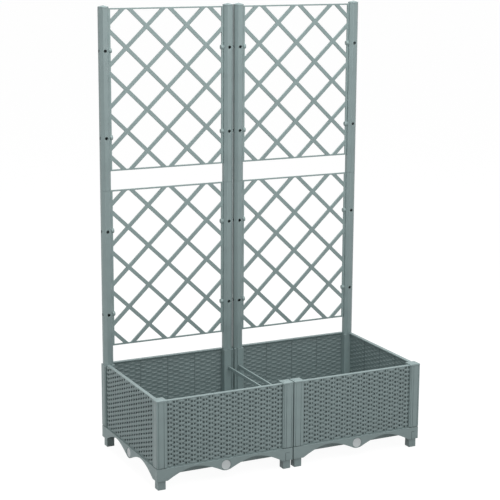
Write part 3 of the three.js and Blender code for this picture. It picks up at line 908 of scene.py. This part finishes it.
class Tray:
    """The sizes of a base that is centred on its own middle. Sides are quarter turns from the
    front."""

    def __init__(self, node):
        low, high = low_high(node)
        self.half = ((high[0] - low[0]) / 2, (high[1] - low[1]) / 2)
        self.foot, self.top = low[2], high[2]
        self.ledge = high[2] - LEDGE
        self.floor = low[2] + TRAY_FLOOR_LIFT
        plug = node.replace("base", "plug_front")
        self.plug_height = middle(plug)[2]
        self.plug_depth = low_high(plug)[0][1] - low[1]
        self.seat = PLUG_RADIUS + PLUG_CLEARANCE

    def reach(self, side):
        """From the middle to the face of a side."""
        return self.half[1 - side % 2]

    def length(self, side):
        """From the middle to either end of a side."""
        return self.half[side % 2]

    def inside(self, inset, bottom, top):
        """A block that stays clear of the four faces."""
        half_x, half_y = self.half
        return block(inset - half_x, half_x - inset, inset - half_y, half_y - inset, bottom, top)

    def about_plug(self, name, profile, segments, side):
        """A round solid on the axis of a side's plug, from the face inwards."""
        part = along_y(lathe(name, profile, segments))
        part.transform(Matrix.Translation((0, -self.reach(side), self.plug_height)))
        return on_side(part, side)


def on_side(mesh, side):
    """A mesh made for the front, turned to another side."""
    return turned(mesh, Matrix.Rotation(side * math.pi / 2, 4, "Z"))


def scallop(along, low):
    """The open space under the scalloped edge of one side, as (along, up)."""
    leg = along - POST_SIDE
    crown = low + CROWN_RISE
    crown_span = CROWN_OFFSET - SHOULDER_OFFSET
    leg_span = leg - CROWN_OFFSET
    tip = (0, low + TIP_RISE)
    shoulder = (SHOULDER_OFFSET, low + SHOULDER_RISE)
    top = (CROWN_OFFSET, crown)
    half = [tip]
    half += bezier([tip, (SHOULDER_OFFSET / 2, low + TIP_RISE), shoulder], SCALLOP_STEPS[0])
    half += bezier([
        shoulder,
        (SHOULDER_OFFSET + SHOULDER_HANDLE[0] * crown_span, low + SHOULDER_HANDLE[1] * CROWN_RISE),
        (CROWN_OFFSET - CROWN_HANDLES[0] * crown_span, crown),
        top], SCALLOP_STEPS[1])
    half += bezier([
        top,
        (CROWN_OFFSET + CROWN_HANDLES[1] * leg_span, crown),
        (leg - LEG_HANDLE[0] * leg_span, low + LEG_HANDLE[1] * CROWN_RISE),
        (leg, low - SCALLOP_BELOW)], SCALLOP_STEPS[2])
    half.append((leg, low - PAST))
    mirrored = [(-x, z) for x, z in half[:0:-1]]
    return mirrored + half


def base_skirt(tray):
    """The skirt with its scalloped edges, open from below up to the ledge."""
    half_x, half_y = tray.half
    outer = rounded(rectangle(-half_x, half_x, -half_y, half_y), BASE_CORNER, 5)
    skirt = profile_solid("skirt", [outer], tray.foot, tray.top)
    cutters = [tray.inside(SKIRT_WALL, tray.foot - PAST, tray.ledge)]
    for side in range(4):
        face = -tray.reach(side)
        opening = profile_solid("opening", [scallop(tray.length(side), tray.foot)],
                                -(face + SKIRT_WALL + PAST), -(face - PAST), edge=SCALLOP_EDGE)
        opening.transform(Matrix.Rotation(math.pi / 2, 4, "X"))
        cutters.append(on_side(opening, side))
    return combined("skirt", skirt, cutters, "DIFFERENCE")


def base_solids(tray, plug_sides):
    """What the skirt holds: solid corners over the feet, the tray, and the seats of the plugs."""
    inset = POST_SIDE - CORNER_HALF - CORNER_LIFT
    top = tray.ledge + OVERLAP
    solids = []
    for x_sign in (-1, 1):
        for y_sign in (-1, 1):
            x, y = x_sign * (tray.half[0] - inset), y_sign * (tray.half[1] - inset)
            solids.append(block(x - CORNER_HALF, x + CORNER_HALF, y - CORNER_HALF,
                                y + CORNER_HALF, tray.foot + CORNER_LIFT, top))
    solids.append(tray.inside(TRAY_INSET, tray.floor - TRAY_FLOOR, top))
    seat = rod(tray.seat + SEAT_WALL, SKIRT_WALL / 2, SEAT_LENGTH)
    pipe = rod(PLUG_STEM_RADIUS + CLEARANCE + PIPE_WALL, SKIRT_WALL, TRAY_INSET + OVERLAP)
    for side in plug_sides:
        solids.append(tray.about_plug("seat", seat, ROUND, side))
        solids.append(tray.about_plug("pipe", pipe, SMALL_ROUND, side))
    return solids


def plug_cuts(tray, plug_sides):
    """A round recess for each disc, and a bore for its stem."""
    seat_floor = tray.plug_depth + PLUG_THICKNESS + CLEARANCE
    wide = tray.seat + SEAT_CHAMFER
    recess = [(0, -PAST), (wide, -PAST), (wide, 0), (tray.seat, SEAT_CHAMFER),
              (tray.seat, seat_floor), (0, seat_floor)]
    bore = rod(PLUG_STEM_RADIUS + CLEARANCE, OVERLAP, TRAY_INSET + TRAY_WALL + PAST)
    cuts = []
    for side in plug_sides:
        cuts.append(tray.about_plug("recess", recess, ROUND, side))
        cuts.append(tray.about_plug("bore", bore, SMALL_ROUND, side))
    return cuts


def groove_cuts(tray):
    """The grooves that the panels stand in."""
    groove = PANEL_EDGE / 2 + CLEARANCE
    cuts = []
    for side in range(4):
        end = tray.length(side) - POST_SIDE
        y = PANEL_PLANE - tray.reach(side)
        cuts.append(on_side(block(-end, end, y - groove, y + groove,
                                  tray.top - GROOVE_DEPTH, tray.top + PAST), side))
    return cuts


def drain_cuts(tray):
    """Five drain holes, in the middle and the corners of the tray."""
    below, above = DRAIN_CHAMFER_ENDS
    bottom = tray.floor - TRAY_FLOOR - OVERLAP
    wide = DRAIN_RADIUS + DRAIN_CHAMFER
    profile = [(0, bottom), (DRAIN_RADIUS, bottom), (DRAIN_RADIUS, tray.floor - below),
               (wide, tray.floor + above), (wide, tray.floor + PAST), (0, tray.floor + PAST)]
    cuts = []
    for x in (-DRAIN_OFFSET, 0, DRAIN_OFFSET):
        for y in (-DRAIN_OFFSET, 0, DRAIN_OFFSET):
            if (x == 0) == (y == 0):
                drain = lathe("drain", profile, SMALL_ROUND)
                drain.transform(Matrix.Translation((x, y, 0)))
                cuts.append(drain)
    return cuts


def mark_cuts(tray):
    """The link mark: a thin groove up the front and the back, and across to its right-hand end."""
    cuts = []
    for side in (0, 2):
        start, end = tray.length(side) - MARK_LEFT, tray.length(side) - MARK_RIGHT
        y0, y1 = -tray.reach(side) - PAST, -tray.reach(side) + MARK_DEPTH
        top = tray.foot + MARK_TOP
        cuts.append(on_side(block(start, start + MARK_GROOVE, y0, y1, tray.foot - PAST, top), side))
        cuts.append(on_side(block(start, end, y0, y1, top - MARK_GROOVE, top), side))
    return cuts


def key_cuts(tray, side):
    """The holes for the link keys, in the side that meets the other box."""
    low, high = low_high("link_key_front")
    offset = (low[1] + high[1]) / 2
    face = -tray.reach(side)
    return [on_side(block(end * offset - KEY_SLOT, end * offset + KEY_SLOT, face - PAST,
                          face + KEY_SLOT, low[2] - CLEARANCE, high[2] + CLEARANCE), side)
            for end in (-1, 1)]


def make_base(node, plug_sides, link_side):
    """The moulded tray, with its seats for the plugs and its holes for the link keys."""
    tray = Tray(node)
    whole = combined("base", base_skirt(tray), base_solids(tray, plug_sides), "UNION")
    cuts = [tray.inside(TRAY_INSET + TRAY_WALL, tray.floor, tray.top + PAST)]
    cuts += plug_cuts(tray, plug_sides)
    cuts += groove_cuts(tray)
    cuts += drain_cuts(tray)
    cuts += mark_cuts(tray)
    cuts += key_cuts(tray, link_side)
    return combined("base", whole, cuts, "DIFFERENCE")


# ---- small pieces

def square(half):
    return rectangle(-half, half, -half, half)


def make_foot(node):
    """A foot that stands at 0, with the peg that enters the base."""
    width, _, height = size(node)
    outline = rounded(square(width / 2), FOOT_CORNER)
    foot = profile_solid("foot", [outline], 0, FOOT_HEIGHT - FOOT_SEAM, edge=FOOT_EDGE)
    peg = profile_solid("peg", [square(FOOT_PEG / 2)], FOOT_HEIGHT / 2, height)
    return combined("foot", foot, [peg], "UNION")


def make_plug():
    """A disc with a fine lip round a flat face, and its stem, from the face along +Y."""
    lip = PLUG_RADIUS - PLUG_LIP
    end = PLUG_THICKNESS + PLUG_STEM_LENGTH
    return along_y(lathe("plug", [
        (0, PLUG_FACE), (lip - PLUG_LIP_SLOPE, PLUG_FACE), (lip, 0.0),
        (PLUG_RADIUS - PLUG_ROUND, 0.0),
        (PLUG_RADIUS - PLUG_ROUND_MIDDLE, PLUG_ROUND_MIDDLE), (PLUG_RADIUS, PLUG_ROUND),
        (PLUG_RADIUS, PLUG_THICKNESS), (PLUG_STEM_RADIUS, PLUG_THICKNESS),
        (PLUG_STEM_RADIUS, end - PLUG_STEM_CHAMFER),
        (PLUG_STEM_RADIUS - PLUG_STEM_CHAMFER, end), (0, end),
    ], PLUG_SIDES))


def rounded_bar(name, width, depth, length, edge=EDGE):
    """A bar along Z, centred on its own middle."""
    outline = rounded(rectangle(-width / 2, width / 2, -depth / 2, depth / 2), BAR_CORNER, 3)
    return profile_solid(name, [outline], -length / 2, length / 2, edge)


def make_tie_bar(node):
    width, length, height = size(node)
    bar = rounded_bar("tie_bar", width, height, length, FINE_EDGE)
    bar.transform(Matrix.Rotation(math.pi / 2, 4, "X"))
    return bar


# ---- assembly

CORNERS = {"front_left": 0, "front_right": 1, "back_right": 2, "back_left": 3}

# pieces that look alike share a mesh
foot_mesh = make_foot("left_foot_front_left")
post_meshes = {tie: make_post("left_post_front_left", tie) for tie in (None, "x", "y")}
post_cap = "left_post_cap_front_left"
post_cap_mesh = make_cap("post_cap", post_cap, square(size(post_cap)[0] / 2), POST_CAP_RIM)
tube_cap = "left_tube_cap_left"
tube_cap_mesh = make_cap("tube_cap", tube_cap, octagon(size(tube_cap)[0]), TUBE_CAP_RIM)
tube_mesh = make_tube("left_tube_lower_left")
lattice_mesh = make_lattice("left_lattice_lower")
plug_mesh = make_plug()
panel_meshes = {side: make_panel(f"left_panel_{side}") for side in ("front", "side")}
bar_mesh = make_tie_bar("left_tie_bar")
key_mesh = rounded_bar("link_key", *size("link_key_front"))


def add_corner(name, corner, centre, outward):
    """A foot, the post over it, and its cap if no tube stands in the post."""
    turn = CORNERS[corner]
    node = f"{name}_foot_{corner}"
    placed(node, foot_mesh, "base_plastic", (middle(node)[0], middle(node)[1], 0))
    node = f"{name}_post_{corner}"
    x, y, _ = middle(node)
    inner = (x - centre[0]) * outward < 0
    tie = ("y" if turn % 2 == 0 else "x") if inner else None
    placed(node, post_meshes[tie], "frame_plastic", (x, y, 0), turn)
    if corner.startswith("front"):
        node = f"{name}_post_cap_{corner}"
        placed(node, post_cap_mesh, "frame_plastic", (x, y, cap_seat(node)))


def add_trellis(name):
    """Lattices, tubes and their caps at the back of a box."""
    for level in ("lower", "upper"):
        node = f"{name}_lattice_{level}"
        placed(node, lattice_mesh, "lattice_plastic", middle(node))
        for side in ("left", "right"):
            node = f"{name}_tube_{level}_{side}"
            x, y, _ = middle(node)
            placed(node, tube_mesh, "frame_plastic", (x, y, tube_foot(node)))
    for side in ("left", "right"):
        node = f"{name}_tube_cap_{side}"
        x, y, _ = middle(node)
        placed(node, tube_cap_mesh, "frame_plastic", (x, y, cap_seat(node)))


def add_side(name, side, turn, centre):
    """A woven panel, and the drain plug below it, which rides its own body."""
    out = Vector((0, -1, 0))
    out.rotate(Matrix.Rotation(turn * math.pi / 2, 3, "Z"))
    face = Tray(f"{name}_base").reach(turn)
    spot = Vector((centre[0], centre[1], 0)) + out * (face - PANEL_PLANE)
    mesh = panel_meshes["side" if side == "side" else "front"]
    placed(f"{name}_panel_{side}", mesh, "weave_plastic", spot, turn)
    node = f"{name}_plug_{side}"
    spot = Vector(middle(node)) + out * ((PLUG_THICKNESS + PLUG_STEM_LENGTH) / 2)
    placed(node, plug_mesh, "plug_plastic", spot, turn, body=node)


def add_box(name, outward):
    """Every piece of one box. outward is -1 for the left box and 1 for the right one."""
    outer_side = 3 if outward < 0 else 1
    base = f"{name}_base"
    centre = middle(base)
    base_mesh = make_base(base, (0, 2, outer_side), 4 - outer_side)
    placed(base, base_mesh, "base_plastic", (centre[0], centre[1], 0))
    for corner in CORNERS:
        add_corner(name, corner, centre, outward)
    add_trellis(name)
    for side, turn in (("front", 0), ("back", 2), ("side", outer_side)):
        add_side(name, side, turn, centre)
    node = f"{name}_tie_bar"
    placed(node, bar_mesh, "frame_plastic", middle(node))


add_box("left", -1)
add_box("right", 1)
for node in ("link_key_front", "link_key_back"):
    placed(node, key_mesh, "base_plastic", middle(node))


# ---- stage

# The camera stands to the left of the front and looks slightly down. Angles in radians.
CAMERA_SPOT = (-1801.0, -3554.6, 1435.3)
CAMERA_TURN = 0.461
CAMERA_DIP = 0.2044
CAMERA_ROLL = 0.0057
CAMERA_FOCAL = 1477.9  # in pixels of a frame 500 wide
CAMERA_SHIFT = (0.0, -0.03)
CAMERA_FAR = 200.0  # metres
FRAME_WIDTH = 500
SENSOR = 36.0

FLOOR_REACH = 40.0  # metres
FLOOR_GREY = 0.4
FLOOR_ROUGHNESS = 0.9
FLOOR_GLOW = 1.36  # of the white that rays for the background see
FLOOR_WHITE = 0.7  # and how much of it they see, so that the shadow stays
AMBIENT = 0.33

# place, target and side of each square lamp in metres, and its watts
LIGHTS = {
    "key": ((0.1, -1.2, 2.6), (0.0, 0.1, 0.6), 1.2, 10.5),
    "front": ((0.0, -1.3, 1.35), (0.0, 0.2, 0.85), 1.1, 9.3),
    "top": ((0.0, 0.0, 3.4), (0.0, 0.0, 0.0), 1.6, 60),
    "fill": ((-2.4, 0.4, 0.4), (-0.4, 0.1, 0.2), 1.4, 13),
}


def white_for_camera(nodes, links, shader, white, weight):
    """Mixes white into a shader, by a weight, for the rays that show the background."""
    path = nodes.new("ShaderNodeLightPath")
    strongest = path.outputs["Is Camera Ray"]
    for ray in ("Is Glossy Ray", "Is Transmission Ray"):
        node = nodes.new("ShaderNodeMath")
        node.operation = "MAXIMUM"
        links.new(strongest, node.inputs[0])
        links.new(path.outputs[ray], node.inputs[1])
        strongest = node.outputs[0]
    scaled = nodes.new("ShaderNodeMath")
    scaled.operation = "MULTIPLY"
    scaled.inputs[1].default_value = weight
    links.new(strongest, scaled.inputs[0])
    mix = nodes.new("ShaderNodeMixShader")
    links.new(scaled.outputs[0], mix.inputs["Fac"])
    links.new(shader, mix.inputs[1])
    links.new(white, mix.inputs[2])
    return mix.outputs[0]


def add_floor():
    mesh = bpy.data.meshes.new("floor")
    corners = [(x, y, 0) for x, y in square(FLOOR_REACH)]
    mesh.from_pydata(corners, [], [(0, 1, 2, 3)])
    linked("floor", mesh)
    material = bpy.data.materials.new("pale_floor")
    material.use_nodes = True
    nodes = material.node_tree.nodes
    links = material.node_tree.links
    shader = nodes["Principled BSDF"]
    shader.inputs["Base Color"].default_value = (FLOOR_GREY, FLOOR_GREY, FLOOR_GREY, 1)
    shader.inputs["Roughness"].default_value = FLOOR_ROUGHNESS
    shader.inputs["Specular IOR Level"].default_value = 0.0
    glow = nodes.new("ShaderNodeEmission")
    glow.inputs["Strength"].default_value = FLOOR_GLOW
    mixed = white_for_camera(nodes, links, shader.outputs[0], glow.outputs[0], FLOOR_WHITE)
    links.new(mixed, nodes["Material Output"].inputs["Surface"])
    mesh.materials.append(material)


def add_world():
    world = bpy.data.worlds.new("studio")
    bpy.context.scene.world = world
    world.use_nodes = True
    nodes = world.node_tree.nodes
    links = world.node_tree.links
    plain = nodes["Background"]
    plain.inputs["Color"].default_value = (1, 1, 1, 1)
    plain.inputs["Strength"].default_value = AMBIENT
    white = nodes.new("ShaderNodeBackground")
    white.inputs["Color"].default_value = (1, 1, 1, 1)
    white.inputs["Strength"].default_value = 1.0
    mixed = white_for_camera(nodes, links, plain.outputs[0], white.outputs[0], 1.0)
    links.new(mixed, nodes["World Output"].inputs["Surface"])


def add_light(name, spot, target, side, power):
    light = bpy.data.lights.new(name, "AREA")
    light.size = side
    light.energy = power
    obj = linked(name, light)
    obj.location = spot
    obj.rotation_euler = (Vector(target) - Vector(spot)).to_track_quat("-Z", "Y").to_euler()


def add_camera():
    data = bpy.data.cameras.new("camera")
    data.sensor_width = SENSOR
    data.lens = SENSOR * CAMERA_FOCAL / FRAME_WIDTH
    data.shift_x, data.shift_y = CAMERA_SHIFT
    data.clip_end = CAMERA_FAR
    camera = linked("camera", data)
    turn = Matrix.Rotation(-CAMERA_TURN, 4, "Z")
    dip = Matrix.Rotation(math.pi / 2 - CAMERA_DIP, 4, "X")
    roll = Matrix.Rotation(CAMERA_ROLL, 4, "Z")
    spot = Matrix.Translation([c * MM for c in CAMERA_SPOT])
    camera.matrix_world = spot @ turn @ dip @ roll
    bpy.context.scene.camera = camera


add_floor()
add_world()
for name, lamp in LIGHTS.items():
    add_light(name, *lamp)
add_camera()
bpy.context.scene.view_settings.view_transform = "Standard"
